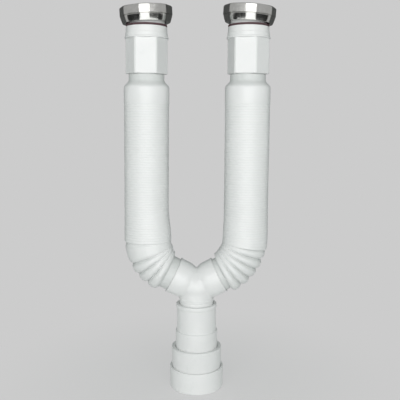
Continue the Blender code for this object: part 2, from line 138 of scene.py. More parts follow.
class Paint:
    """A material with one Principled shader and a short way to add nodes."""

    def __init__(self, name):
        self.material = bpy.data.materials.new(name)
        self.material.use_nodes = True
        self.tree = self.material.node_tree
        self.shader = self.tree.nodes["Principled BSDF"]

    def node(self, kind, settings=None, inputs=None, output=0):
        made = self.tree.nodes.new(kind)
        for name, value in (settings or {}).items():
            setattr(made, name, value)
        for name, value in (inputs or {}).items():
            self.feed(made.inputs[name], value)
        return Wire(self, made.outputs[output])

    def feed(self, socket, value):
        if isinstance(value, Wire):
            self.tree.links.new(value.socket, socket)
        else:
            socket.default_value = value

    def set(self, **values):
        for name, value in values.items():
            self.feed(self.shader.inputs[name.replace("_", " ")], value)

    def place(self):
        return self.node("ShaderNodeTexCoord", output="Object")

    def noise(self, size, detail=2.0, distortion=0.0):
        """Noise whose patches are about this many metres across, from 0 to 1."""
        inputs = {"Vector": self.place(), "Scale": 1.0 / size, "Detail": detail, "Distortion": distortion}
        return self.node("ShaderNodeTexNoise", {}, inputs)

    def mixed(self, share, first, second):
        """Goes from the first colour to the second. Each is a wire or three numbers."""
        inputs = {"Factor": share}
        for name, colour in (("A", first), ("B", second)):
            inputs[name] = colour if isinstance(colour, Wire) else (*colour, 1.0)
        return self.node("ShaderNodeMix", {"data_type": "RGBA"}, inputs, output="Result")

    def bump(self, height, depth, under=None):
        inputs = {"Height": height, "Distance": depth, "Strength": 1.0}
        if under:
            inputs["Normal"] = under
        return self.node("ShaderNodeBump", {}, inputs)


print("shader classes ready")

# %% [markdown]
# White moulded plastic
# The junction, the tails and the outlet are injection moulded in white polypropylene. It
# is never one flat white: the melt leaves faint cloudy flow marks, the skin has a fine
# grain from the mould, and wide flat stretches sink a little, which bends reflections.
# Noise at three scales does this: clouds in the colour, patches in the roughness, and
# sink marks with grain in the bump.

# %% Moulded plastic
CLOUD_SIZE = 14.0 * MM
CLOUD_DETAIL = 3.0
GRAIN_SIZE = 0.55 * MM
MOULD_GRAIN_DEPTH = 0.012 * MM
SINK_SIZE = 16.0 * MM
SINK_DEPTH = 0.10 * MM
PLASTIC_IOR = 1.49
MOULDED_LIGHT = (0.872, 0.872, 0.868)
MOULDED_SHADED = (0.825, 0.838, 0.830)


def moulded_plastic():
    paint = Paint("moulded_white")
    clouds = paint.noise(CLOUD_SIZE, detail=CLOUD_DETAIL, distortion=0.6)
    grain = paint.noise(GRAIN_SIZE, detail=1.0)
    sinks = paint.bump(paint.noise(SINK_SIZE, detail=1.0), SINK_DEPTH)
    paint.set(
        Base_Color=paint.mixed(clouds, MOULDED_SHADED, MOULDED_LIGHT),
        Roughness=0.3 + 0.12 * (clouds - 0.5) + 0.08 * (grain - 0.5),
        Normal=paint.bump(grain, MOULD_GRAIN_DEPTH, under=sinks),
        IOR=PLASTIC_IOR,
    )
    return paint.material


MOULDED_WHITE = moulded_plastic()
print("material:", MOULDED_WHITE.name)

# %% [markdown]
# Blown hose plastic
# The bellows are blow moulded from a softer, waxier plastic. The grooves between the folds carry painted
# shade, which leaves the crests lighter, and clouds make that shade a little uneven. Each point of the mesh
# will carry a number called groove, 0 on a crest and 1 in the bottom of a fold, and the material paints the
# shade by it.

# %% Hose plastic
BLOWN_LIGHT = (0.868, 0.870, 0.866)
BLOWN_SHADED = (0.825, 0.838, 0.830)
# Colour of the painted shade in the bottoms of the grooves.
GROOVE_SHADE_COLOUR = (0.60, 0.625, 0.61)
BLOWN_GRAIN_DEPTH = 0.014 * MM
DENT_SIZE = 9.0 * MM
DENT_DEPTH = 0.08 * MM


def hose_plastic():
    paint = Paint("blown_white")
    groove = paint.node("ShaderNodeAttribute", {"attribute_name": "groove"}, output="Fac")
    clouds = paint.noise(CLOUD_SIZE, detail=CLOUD_DETAIL, distortion=0.8)
    grain = paint.noise(GRAIN_SIZE, detail=1.0)
    dents = paint.bump(paint.noise(DENT_SIZE, detail=1.0), DENT_DEPTH)
    # Painted shade: the grooves go towards the shade colour, unevenly with the clouds, and the same mask
    # makes them rougher.
    groove_shade = groove * (0.35 + 0.5 * clouds)
    clean = paint.mixed(clouds, BLOWN_SHADED, BLOWN_LIGHT)
    paint.set(
        Base_Color=paint.mixed(groove_shade, clean, GROOVE_SHADE_COLOUR),
        Roughness=0.34 + 0.25 * groove_shade + 0.1 * (clouds - 0.5),
        Normal=paint.bump(grain, BLOWN_GRAIN_DEPTH, under=dents),
        IOR=PLASTIC_IOR,
    )
    return paint.material


BLOWN_WHITE = hose_plastic()
print("material:", BLOWN_WHITE.name)

# %% [markdown]
# Chrome plate and rubber
# The nuts are cast brass with a thin chrome plate. The plate follows every ripple of the
# casting, so its reflections wobble, and handling leaves duller patches. The washers are
# maroon rubber and the hidden seals black rubber: nearly matt, with a dusty bloom.

# %% Chrome and rubber
CHROME_DULL = (0.47, 0.47, 0.45)
CHROME_BRIGHT = (0.60, 0.60, 0.585)
PATCH_SIZE = 5.0 * MM
RIPPLE_SIZE = 3.2 * MM
RIPPLE_DEPTH = 0.05 * MM
PIT_SIZE = 0.7 * MM
PIT_DEPTH = 0.01 * MM
BLOOM_SIZE = 4.0 * MM
RUBBER_GRAIN_SIZE = 0.4 * MM
RUBBER_GRAIN_DEPTH = 0.03 * MM
RUBBER_IOR = 1.52


def chrome_plate():
    paint = Paint("worn_chrome")
    patches = paint.noise(PATCH_SIZE, detail=4.0, distortion=0.5)
    ripples = paint.bump(paint.noise(RIPPLE_SIZE, detail=1.5), RIPPLE_DEPTH)
    pits = paint.noise(PIT_SIZE, detail=2.0)
    paint.set(
        Base_Color=paint.mixed(patches, CHROME_DULL, CHROME_BRIGHT),
        Metallic=1.0,
        Roughness=0.05 + 0.16 * patches + 0.06 * pits,
        Normal=paint.bump(pits, PIT_DEPTH, under=ripples),
    )
    return paint.material


def rubber(name, fresh, bloomed):
    paint = Paint(name)
    bloom = paint.noise(BLOOM_SIZE, detail=4.0)
    grain = paint.noise(RUBBER_GRAIN_SIZE, detail=2.0)
    paint.set(
        Base_Color=paint.mixed(bloom, fresh, bloomed),
        Roughness=0.5 + 0.25 * bloom,
        Normal=paint.bump(grain, RUBBER_GRAIN_DEPTH),
        IOR=RUBBER_IOR,
    )
    return paint.material


WORN_CHROME = chrome_plate()
MAROON = rubber("maroon_rubber_skin", (0.060, 0.024, 0.031), (0.105, 0.052, 0.060))
BLACK = rubber("black_rubber_skin", (0.018, 0.018, 0.019), (0.045, 0.045, 0.045))
print("materials:", WORN_CHROME.name, MAROON.name, BLACK.name)

# %% [markdown]
# Shaping helpers
# Every round piece here begins as a circle and is drawn upward ring by ring: extrude the
# open edge, resize it to the next radius, repeat, and weld the last ring to the first. It
# is how one would do it by hand, and it leaves clean quads for the bevel.

# %% Helpers
SIDES = 96
WELD = 0.002 * MM
SAME_SIZE = 1e-6
SMOOTH_ANGLE = math.radians(38)
EASE_ANGLE = math.radians(28)


def pick(item):
    """Deselects everything else, then selects this object and makes it active."""
    bpy.ops.object.select_all(action="DESELECT")
    item.select_set(True)
    bpy.context.view_layer.objects.active = item


def draw_rings(rows):
    """Extrudes the selected edge loop, which is the first (radius, height) row, through the rest."""
    for (before, low), (after, high) in zip(rows, rows[1:]):
        bpy.ops.mesh.extrude_region_move(TRANSFORM_OT_translate={"value": (0, 0, high - low)})
        ratio = after / before
        if abs(ratio - 1) > SAME_SIZE:
            bpy.ops.transform.resize(value=(ratio, ratio, 1), center_override=(0, 0, high))


def close_mesh():
    """Welds doubles and turns all faces outward, in edit mode, then leaves it."""
    bpy.ops.mesh.select_all(action="SELECT")
    bpy.ops.mesh.remove_doubles(threshold=WELD)
    bpy.ops.mesh.normals_make_consistent(inside=False)
    bpy.ops.object.mode_set(mode="OBJECT")


def start_circle(name, radius, height, sides=SIDES):
    """A circle in edit mode, in an object at the origin."""
    bpy.ops.object.select_all(action="DESELECT")
    bpy.ops.mesh.primitive_circle_add(vertices=sides, radius=radius, location=(0, 0, height))
    item = bpy.context.object
    item.name = name
    bpy.ops.object.transform_apply(location=True, rotation=True, scale=True)
    bpy.ops.object.mode_set(mode="EDIT")
    return item


def turned(name, outline, sides=SIDES):
    """A closed ring whose section is the outline of (radius, height) corners."""
    item = start_circle(name, *outline[0], sides=sides)
    draw_rings(list(outline) + [outline[0]])
    close_mesh()
    return item


def filled(name, outline, sides=SIDES):
    """A solid round shape, with flat ends, from (radius, height) corners."""
    item = start_circle(name, *outline[0], sides=sides)
    bpy.ops.mesh.edge_face_add()
    draw_rings(outline)
    close_mesh()
    return item


def modify(item, kind, **settings):
    """Adds a modifier, sets it and applies it."""
    pick(item)
    step = item.modifiers.new(kind.lower(), kind)
    for name, value in settings.items():
        setattr(step, name, value)
    bpy.ops.object.modifier_apply(modifier=step.name)
    return item


def eased(item, width, segments=3, angle=EASE_ANGLE):
    """Rounds every edge that is sharper than the angle."""
    limits = {"limit_method": "ANGLE", "angle_limit": angle, "use_clamp_overlap": True}
    return modify(item, "BEVEL", width=width, segments=segments, **limits)


def carved(item, tool, operation="DIFFERENCE"):
    """Boolean with a tool that is used up."""
    modify(item, "BOOLEAN", operation=operation, solver="EXACT", object=tool)
    bpy.data.objects.remove(tool, do_unlink=True)
    return item


def placed(item, where):
    """Moves an object by a matrix and puts that place into its mesh."""
    pick(item)
    item.matrix_world = where @ item.matrix_world
    bpy.ops.object.transform_apply(location=True, rotation=True, scale=True)
    return item


def dressed(item, paint, body=None, node=None, crisp=False):
    """Gives a finished piece its shading and material, sets it on its body and hides the part of the model
    it replaces.
    """
    pick(item)
    bpy.ops.object.shade_smooth_by_angle(angle=SMOOTH_ANGLE)
    if crisp:
        modify(item, "WEIGHTED_NORMAL", keep_sharp=True)
    item.data.materials.clear()
    item.data.materials.append(paint)
    if body:
        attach(item, body)
    if node:
        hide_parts(node)
    return item


print("helpers ready")

# %% [markdown]
# The two arms
# Both arms are the same product bent by hand, so they differ: the left one curves more
# tightly and has one fold pulled flat, and the right one is a wider curve of five even
# folds. A record holds what differs. From it come the frames that every piece of the arm
# is set in: along the branch, round the bend and up the straight.

# %% Arms
HUB_LEVEL = 106.0 * MM
BRANCH_RISE = math.radians(27.0)
SHOULDER_LEVEL = 305.0 * MM
TAIL_LEVEL = 318.5 * MM


@dataclass
class Arm:
    """What differs between the arms. Leans and tilts, in degrees, are positive away from the outlet."""

    name: str
    side: int
    offset: float
    bend_radius: float
    closed_deg: float
    folds: tuple
    seam_folds: int
    lean_deg: float
    tail_turn_deg: float
    nut_tilt_deg: float
    slump: float

    def bend_angle(self):
        return math.pi / 2 - BRANCH_RISE - math.radians(self.lean_deg)

    def bend_start(self):
        reach = self.bend_radius * (math.cos(math.radians(self.lean_deg)) - math.sin(BRANCH_RISE))
        return (self.offset - reach) / math.cos(BRANCH_RISE)

    def bend_end(self):
        return self.bend_start() + self.bend_angle() * self.bend_radius

    def frame_at(self, along):
        """Frame on the hose's axis, at a distance along it from the hub, with Z along the axis."""
        start = self.bend_start()
        straight = min(along, start)
        out = straight * math.cos(BRANCH_RISE)
        level = HUB_LEVEL + straight * math.sin(BRANCH_RISE)
        bent = min(max(along - start, 0) / self.bend_radius, self.bend_angle())
        heading = BRANCH_RISE + bent
        out += self.bend_radius * (math.sin(heading) - math.sin(BRANCH_RISE))
        level += self.bend_radius * (math.cos(BRANCH_RISE) - math.cos(heading))
        beyond = max(along - self.bend_end(), 0)
        place = Matrix.Translation((self.side * out, 0, level))
        turn = Matrix.Rotation(self.side * (math.pi / 2 - heading), 4, "Y")
        return place @ turn @ Matrix.Translation((0, 0, beyond))

    def along_at(self, level):
        """Distance along the axis of a level on the straight part."""
        return self.bend_end() + level - self.frame_at(self.bend_end()).translation.z

    def upright(self, level, turn_deg=0.0):
        """Frame on the straight part, turned about its axis."""
        turn = Matrix.Rotation(math.radians(turn_deg), 4, "Z")
        return self.frame_at(self.along_at(level)) @ turn


ARMS = (
    Arm(
        name="left", side=-1, offset=50.3 * MM, bend_radius=35.0 * MM, closed_deg=0.0,
        folds=(1, 1, 1, 2), seam_folds=10, lean_deg=-0.65, tail_turn_deg=2.0, nut_tilt_deg=2.5,
        slump=3.0 * MM,
    ),
    Arm(
        name="right", side=1, offset=49.7 * MM, bend_radius=40.4 * MM, closed_deg=10.0,
        folds=(1, 1, 1, 1, 1), seam_folds=12, lean_deg=0.3, tail_turn_deg=-12.5, nut_tilt_deg=4.0,
        slump=1.2 * MM,
    ),
)
for arm in ARMS:
    print(arm.name, "bend from", in_mm([arm.frame_at(arm.bend_start()).translation]))

# %% [markdown]
# The hose, modelled straight
# A real bellows is blown as one straight piece and bent afterwards, and it is modelled in
# the same order. The lower part has the plain cuff, the folds that were pulled open and
# the first closed folds. It is drawn ring by ring, outside going up and inside coming
# back, so the wall has its true thickness.

# %% Hose sections
CUFF_OUTER = 17.05 * MM
CUFF_END = 16.6 * MM
HOSE_WALL = 1.4 * MM
FOLD_PEAK = 21.5 * MM
FOLD_VALLEY = 16.9 * MM
FOLD_FULLNESS = 3.0
OPEN_STEPS = 14
CLOSED_PEAK = 22.0 * MM
CLOSED_GROOVE = 0.16 * MM
CLOSED_BORE = 17.4 * MM
CLOSED_PITCH = 2.4 * MM
TOP_CUFF_HEIGHT = 16.0 * MM
CREST_FULLNESS = 3.0
CREST_STEPS = (0.0, 0.05, 0.13, 0.28, 0.5, 0.72, 0.87, 0.95)


def bulge(share, fullness):
    """How far out a fold is, 0 in the grooves and 1 on the crest, for a share of its height."""
    return 1 - abs(2 * share - 1) ** fullness


def open_radius(share, shares):
    """Outer radius of an opened fold at a share of its height."""
    return FOLD_VALLEY + (FOLD_PEAK - FOLD_VALLEY) * bulge(share, FOLD_FULLNESS * shares)


def closed_fold(foot, pitch):
    low = CLOSED_PEAK - CLOSED_GROOVE
    return [(low + CLOSED_GROOVE * bulge(step, CREST_FULLNESS), foot + pitch * step) for step in CREST_STEPS]


def open_folds(arm, inset):
    """Rows of the opened folds and where they end. A fold of two shares was pulled nearly flat."""
    foot = arm.bend_start()
    span = (arm.bend_angle() - math.radians(arm.closed_deg)) * arm.bend_radius
    share = span / sum(arm.folds)
    rows = []
    for shares in arm.folds:
        for step in range(OPEN_STEPS):
            radius = open_radius(step / OPEN_STEPS, shares) - inset
            rows.append((radius, foot + share * shares * step / OPEN_STEPS))
        foot += share * shares
    return rows, foot


def folded_length(arm):
    return arm.along_at(SHOULDER_LEVEL) - TOP_CUFF_HEIGHT - open_folds(arm, 0)[1]


def fold_count(arm):
    return round(folded_length(arm) / CLOSED_PITCH)


def fold_pitch(arm):
    """The pitch at which a whole number of closed folds fills the straight."""
    return folded_length(arm) / fold_count(arm)


def seam_along(arm):
    """Where the lower piece hands over to the upper one, in a groove between two closed folds."""
    return open_folds(arm, 0)[1] + arm.seam_folds * fold_pitch(arm)


def lower_hose(arm):
    outer_folds, closed_start = open_folds(arm, 0)
    inner_folds = open_folds(arm, HOSE_WALL)[0]
    pitch = fold_pitch(arm)
    seam = seam_along(arm)
    cuff_bore = CUFF_OUTER - HOSE_WALL
    cuff_top = arm.bend_start() - HOSE_WALL
    rows = [(CUFF_OUTER - HOSE_WALL / 2, CUFF_END), (CUFF_OUTER, CUFF_END + HOSE_WALL / 2)]
    rows += [(CUFF_OUTER, cuff_top), *outer_folds]
    for fold in range(arm.seam_folds):
        rows += closed_fold(closed_start + fold * pitch, pitch)
    rows += [(CLOSED_PEAK - CLOSED_GROOVE, seam), (CLOSED_BORE, seam)]
    rows += [(CLOSED_BORE, closed_start + fold * pitch) for fold in range(arm.seam_folds - 1, 0, -1)]
    rows += reversed(inner_folds[::2])
    rows += [(cuff_bore, cuff_top), (cuff_bore, CUFF_END)]
    return turned(f"{arm.name}_hose_bend", rows)


lower_hoses = {arm.name: lower_hose(arm) for arm in ARMS}
print("lower hoses:", [len(item.data.polygons) for item in lower_hoses.values()], "faces")

# %% [markdown]
# The closed folds
# Above the bend nearly sixty folds lie closed on each other, so tightly that only faint
# lines part them. They are all alike, so one is drawn and an Array repeats it, merging
# each to the next. From its top ring the plain cuff, the soft shoulder and the neck that
# plugs into the tail are drawn, and then the bore back down.

# %% Closed folds
TOP_CUFF_OUTER = 22.2 * MM
TOP_CUFF_EDGE = 4 * CLOSED_GROOVE
SHOULDER_HEIGHT = 7.5 * MM
SHOULDER_STEPS = 8
HOSE_NECK = 16.6 * MM
NECK_SHOWN = 17.4 * MM
NECK_GAP = 0.6 * MM
NECK_END = TAIL_LEVEL + 21.4 * MM


def select_ring(item, height):
    """Selects the open ring at the top and goes to edit mode."""
    bpy.ops.object.mode_set(mode="EDIT")
    bpy.ops.mesh.select_all(action="DESELECT")
    bpy.ops.object.mode_set(mode="OBJECT")
    for point in item.data.vertices:
        point.select = point.co.z > height - WELD
    for edge in item.data.edges:
        edge.select = all(item.data.vertices[index].select for index in edge.vertices)
    bpy.ops.object.mode_set(mode="EDIT")


def shoulder(foot):
    """Rows of the outside where it swings in from the cuff to the neck."""
    rows = []
    for step in range(SHOULDER_STEPS + 1):
        share = step / SHOULDER_STEPS
        out = (1 + math.cos(math.pi * share)) / 2
        radius = NECK_SHOWN + (TOP_CUFF_OUTER - NECK_SHOWN) * out
        rows.append((radius, foot + SHOULDER_HEIGHT * share))
    return rows


def upper_hose(arm):
    pitch = fold_pitch(arm)
    seam = seam_along(arm)
    count = fold_count(arm) - arm.seam_folds
    top = seam + count * pitch
    groove = CLOSED_PEAK - CLOSED_GROOVE
    fold = closed_fold(seam, pitch) + [(groove, seam + pitch)]
    item = start_circle(f"{arm.name}_hose_bellows", *fold[0])
    draw_rings(fold)
    bpy.ops.object.mode_set(mode="OBJECT")
    modify(
        item, "ARRAY", count=count, use_relative_offset=False, use_constant_offset=True,
        constant_offset_displace=(0, 0, pitch), use_merge_vertices=True, merge_threshold=WELD,
    )
    select_ring(item, top)
    foot = top + TOP_CUFF_HEIGHT
    tail_foot = arm.along_at(TAIL_LEVEL) - NECK_GAP
    neck_end = arm.along_at(NECK_END)
    neck_bore = HOSE_NECK - HOSE_WALL
    rows = [(groove, top), (CLOSED_PEAK, top + CLOSED_GROOVE), (TOP_CUFF_OUTER, top + TOP_CUFF_EDGE)]
    rows.append((TOP_CUFF_OUTER, foot - HOSE_WALL))
    rows += shoulder(foot)
    rows += [(NECK_SHOWN, tail_foot - NECK_GAP), (HOSE_NECK, tail_foot)]
    rows += [(HOSE_NECK, neck_end - HOSE_WALL / 2), (HOSE_NECK - HOSE_WALL / 2, neck_end)]
    rows += [(neck_bore, neck_end), (neck_bore, foot + SHOULDER_HEIGHT)]
    rows += [(CLOSED_BORE, foot), (CLOSED_BORE, top)]
    rows += [(CLOSED_BORE, seam + ring * pitch) for ring in range(count - 1, -1, -1)]
    rows.append((groove, seam))
    draw_rings(rows)
    close_mesh()
    return item


upper_hoses = {arm.name: upper_hose(arm) for arm in ARMS}
print("upper hoses:", [len(item.data.polygons) for item in upper_hoses.values()], "faces")

# %% [markdown]
# Slack and unevenness
# A bellows bent by hand doesn't stay a clean tube: on the inner side of the bend the folds
# are squeezed and bulge out, and a thin blown wall is never quite round. Both are done on
# the straight hose. Points on the inner side are pushed outward, the groove numbers are
# written while the radius is easy to measure, and two cloud textures displace the wall:
# one shifts it slowly sideways, and one, stretched very wide, lifts each ring as a whole.

# %% Slack and unevenness
SLUMP_FILL = 0.88
SHALLOW_FILL = 0.3
SLUMP_ROUND = 0.3
SLUMP_RISE = 0.5
SLUMP_FADE = 34 * MM
# Least share of painted groove shade anywhere on the opened folds.
OPEN_FOLD_SHADE = 0.3
WOBBLE_SIZE = 30 * MM
WOBBLE = 0.6 * MM
RING_SIZE = 5 * MM
RING_UNEVENNESS = 0.22 * MM
FLAT_STRETCH = 50.0

wobble_clouds = bpy.data.textures.new("wall_wobble", "CLOUDS")
wobble_clouds.noise_scale = WOBBLE_SIZE
ring_clouds = bpy.data.textures.new("ring_unevenness", "CLOUDS")
ring_clouds.noise_scale = RING_SIZE


def smooth(share):
    share = min(1.0, max(0.0, share))
    return share * share * (3 - 2 * share)


def outer_radius(arm, along):
    """Radius of the hose's outside in its bend, at a distance along its axis."""
    foot = arm.bend_start()
    share = (open_folds(arm, 0)[1] - foot) / sum(arm.folds)
    for shares in arm.folds:
        if along < foot + share * shares:
            return open_radius((along - foot) / (share * shares), shares)
        foot += share * shares
    return CLOSED_PEAK


def slump(arm, item):
    """Fills out the inner side of the bend, which is +Y on the straight hose."""
    start = arm.bend_start()
    end = open_folds(arm, 0)[1]
    for point in item.data.vertices:
        along = point.co.z
        if not start < along < end + SLUMP_FADE:
            continue
        radius = math.hypot(point.co.x, point.co.y)
        inner = smooth((point.co.y / radius + SLUMP_ROUND) / (1 + SLUMP_ROUND))
        rising = smooth((along - start) / (SLUMP_RISE * (end - start)))
        fading = smooth((end + SLUMP_FADE - along) / SLUMP_FADE)
        bulging = arm.slump * rising * fading
        hollow = max(0, FOLD_PEAK - outer_radius(arm, along))
        grown = inner * bulging + hollow * (SHALLOW_FILL + (SLUMP_FILL - SHALLOW_FILL) * inner)
        point.co.x *= 1 + grown / radius
        point.co.y *= 1 + grown / radius


def write_grooves(item):
    """1 in the bottom of a groove and 0 on a crest, by each point's radius about the axis."""
    values = []
    for point in item.data.vertices:
        radius = math.hypot(point.co.x, point.co.y)
        closed = (CLOSED_PEAK - radius) / CLOSED_GROOVE
        opened = (FOLD_PEAK - radius) / (FOLD_PEAK - FOLD_VALLEY)
        values.append(min(1.0, max(0.0, min(closed, OPEN_FOLD_SHADE + opened))))
    attribute = item.data.attributes.new("groove", "FLOAT", "POINT")
    attribute.data.foreach_set("value", values)


def uneven(item):
    """Shifts the wall slowly sideways, and each ring a little in or out as a whole."""
    for direction in ("X", "Y"):
        modify(item, "DISPLACE", texture=wobble_clouds, direction=direction, strength=WOBBLE, mid_level=0.5)
    bpy.ops.object.select_all(action="DESELECT")
    bpy.ops.object.empty_add()
    stretch = bpy.context.object
    stretch.scale = (FLAT_STRETCH, FLAT_STRETCH, 1)
    modify(
        item, "DISPLACE", texture=ring_clouds, texture_coords="OBJECT", texture_coords_object=stretch,
        strength=RING_UNEVENNESS, mid_level=0.5,
    )
    bpy.data.objects.remove(stretch, do_unlink=True)


for arm in ARMS:
    for item in (lower_hoses[arm.name], upper_hoses[arm.name]):
        slump(arm, item)
        write_grooves(item)
        uneven(item)
        print(item.name, "made uneven")

# %% [markdown]
# Bending the hose
# A Curve modifier carries each ring of the straight hose along a path: out of the branch,
# round the bend and up. The path is a Bezier line whose handles make the bend a true arc.

# %% Bend the hoses
PATH_STEPS = 120
BEZIER_ARC = 4 / 3
BLEND_START = 10.5 * MM
BLEND_BEYOND = 8 * MM


def arm_path(arm):
    """A Bezier line from the hub: straight, one arc and straight again."""
    bpy.ops.object.select_all(action="DESELECT")
    bpy.ops.curve.primitive_bezier_curve_add()
    path = bpy.context.object
    path.name = f"{arm.name}_path"
    path.data.dimensions = "3D"
    path.data.twist_mode = "MINIMUM"
    path.data.resolution_u = PATH_STEPS
    spline = path.data.splines[0]
    spline.bezier_points.add(2)
    places = (0.0, arm.bend_start(), arm.bend_end(), arm.along_at(NECK_END))
    arc = BEZIER_ARC * math.tan(arm.bend_angle() / 4) * arm.bend_radius
    first = places[1] / 3
    last = (places[3] - places[2]) / 3
    befores = (first, first, arc, last)
    afters = (first, arc, last, last)
    for point, along, before, after in zip(spline.bezier_points, places, befores, afters):
        point.handle_left_type = "FREE"
        point.handle_right_type = "FREE"
        where = arm.frame_at(along)
        point.co = where.translation
        point.handle_left = where @ Vector((0, 0, -before))
        point.handle_right = where @ Vector((0, 0, after))
    return path


def bent(arm, item):
    path = arm_path(arm)
    modify(item, "CURVE", object=path, deform_axis="POS_Z")
    bpy.data.objects.remove(path, do_unlink=True)
    return dressed(item, BLOWN_WHITE, node=f"{arm.name}_hose")


for arm in ARMS:
    low = bent(arm, lower_hoses[arm.name])
    high = bent(arm, upper_hoses[arm.name])
    first = arm.frame_at(arm.bend_start()).translation
    last = arm.frame_at(arm.bend_end() + BLEND_BEYOND).translation
    first = first + (last - first).normalized() * BLEND_START
    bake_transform(low)
    seam_point = arm.frame_at(seam_along(arm)).translation
    shoulder_point = arm.upright(SHOULDER_LEVEL).translation
    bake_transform(high)
    print(arm.name, "hose bent, with", fold_count(arm), "closed folds")

# %% [markdown]
# The tails
# Each tail is one moulding: a hexagonal barrel for a spanner, a thin lip, a shallow band,
# a collar that narrows upward, and a throat and flange that the nut hangs on. The round
# outline is turned first, then a hexagonal ring carves the flats, and a bevel rounds all
# the edges at once.

# %% Tails
SLIP = 0.35 * MM
PAST = 1 * MM
TAIL_SOCKET_DEPTH = 24.0 * MM
TAIL_BORE = 15.2 * MM
HEX_CORNER = 20.8 * MM
HEX_ROUND = 20.3 * MM
HEX_HEIGHT = 33.5 * MM
LIP_OUTER = 21.2 * MM
LIP_HEIGHT = 1.2 * MM
BAND_OUTER = 20.5 * MM
BAND_HEIGHT = 3.6 * MM
BAND_STEP = 0.35 * MM
COLLAR_TOP_OUTER = 19.8 * MM
COLLAR_HEIGHT = 10.8 * MM
THROAT_OUTER = 17.5 * MM
THROAT_HEIGHT = 7.8 * MM
FLANGE_OUTER = 19.0 * MM
FLANGE_HEIGHT = 2.4 * MM
TAIL_EDGE = 0.3 * MM
TAIL_EDGE_ANGLE = math.radians(16)
COLLAR_TOP = HEX_HEIGHT + COLLAR_HEIGHT
FLANGE_FOOT = COLLAR_TOP + THROAT_HEIGHT
FLANGE_TOP = FLANGE_FOOT + FLANGE_HEIGHT


def tail_outline():
    socket = HOSE_NECK + SLIP
    lip_top = HEX_HEIGHT + LIP_HEIGHT
    band_top = lip_top + BAND_HEIGHT
    return [
        (socket, 0), (HEX_ROUND, 0), (HEX_ROUND, HEX_HEIGHT), (LIP_OUTER, HEX_HEIGHT),
        (LIP_OUTER, lip_top), (BAND_OUTER, lip_top + BAND_STEP), (BAND_OUTER, band_top),
        (BAND_OUTER - BAND_STEP, band_top + BAND_STEP), (COLLAR_TOP_OUTER, COLLAR_TOP),
        (THROAT_OUTER, COLLAR_TOP), (THROAT_OUTER, FLANGE_FOOT), (FLANGE_OUTER, FLANGE_FOOT),
        (FLANGE_OUTER, FLANGE_TOP), (TAIL_BORE, FLANGE_TOP), (TAIL_BORE, TAIL_SOCKET_DEPTH),
        (socket, TAIL_SOCKET_DEPTH),
    ]


def tail(arm):
    item = turned(f"{arm.name}_tail", tail_outline())
    stock = 2 * HEX_CORNER
    ring = [(HEX_CORNER, -PAST), (stock, -PAST), (stock, HEX_HEIGHT), (HEX_CORNER, HEX_HEIGHT)]
    flats = placed(turned("flats", ring, sides=6), Matrix.Rotation(math.radians(90), 4, "Z"))
    carved(item, flats)
    eased(item, TAIL_EDGE, angle=TAIL_EDGE_ANGLE)
    placed(item, arm.upright(TAIL_LEVEL, arm.tail_turn_deg))
    end = f"{arm.name}_end"
    return dressed(item, MOULDED_WHITE, end, f"{arm.name}_tail_connector", crisp=True)


for arm in ARMS:
    print(tail(arm).name, "made")

# %% [markdown]
# The union nuts
# A union nut is an octagon so that a wrench finds it from any side. The plated casting has
# a narrow foot below a groove and a taller head above it, with softly rounded corners that
# catch the light. The octagon is a circle of eight sides whose corners are bevelled while
# it is flat, so every ring drawn from it is rounded alike. A round tool with the grooves of
# a pipe thread then carves the bore.

# %% Nuts
NUT_SIDES = 8
NUT_CORNER = 26.8 * MM
NUT_SHOULDER_CORNER = 26.4 * MM
NUT_WAIST_CORNER = 25.2 * MM
NUT_FOOT_CORNER = 24.2 * MM
NUT_ROUNDING = 5.6 * MM
NUT_STEPS = 7
NUT_HEIGHT = 15.0 * MM
NUT_CROWN = 0.7 * MM
NUT_SHOULDER_HEIGHT = 6.5 * MM
NUT_CHAMFER = 2.4 * MM
NUT_GROOVE = 0.5 * MM
NUT_UNDERCUT = 1.2 * NUT_GROOVE
NUT_FLOOR = 2.2 * MM
NUT_HOLE = 18.6 * MM
NUT_BORE = 20.4 * MM
NUT_EDGE = 0.28 * MM
NUT_EDGE_ANGLE = math.radians(24)
THREAD_PITCH = 2.31 * MM
THREAD_DEPTH = 1.1 * MM
THREAD_CREST = 0.25
MOUTH_FLARE = 1.8 * MM
SEAT = 0.3 * MM
GRIP_OUTER = 19.9 * MM
GRIP_HEIGHT = 1.8 * MM


def nut_frame(arm):
    """The nut hangs askew, one side of its floor resting on the grip ring."""
    tilt = math.radians(arm.nut_tilt_deg - arm.lean_deg)
    rise = COLLAR_TOP + 2 * SEAT + GRIP_HEIGHT + GRIP_OUTER * math.sin(tilt)
    return arm.upright(TAIL_LEVEL + rise) @ Matrix.Rotation(arm.side * tilt, 4, "Y")


def nut_bore():
    """Rows of the bore's tool: a hole in the floor, the thread's grooves and a flared mouth."""
    rows = [(NUT_HOLE, -PAST), (NUT_HOLE, NUT_FLOOR)]
    height = NUT_FLOOR
    while height + THREAD_PITCH < NUT_HEIGHT:
        rows += [(NUT_BORE, height), (NUT_BORE, height + THREAD_CREST * THREAD_PITCH)]
        rows.append((NUT_BORE + THREAD_DEPTH, height + (1 + THREAD_CREST) / 2 * THREAD_PITCH))
        height += THREAD_PITCH
    return rows + [(NUT_BORE, height), (NUT_BORE + MOUTH_FLARE, NUT_HEIGHT + PAST)]


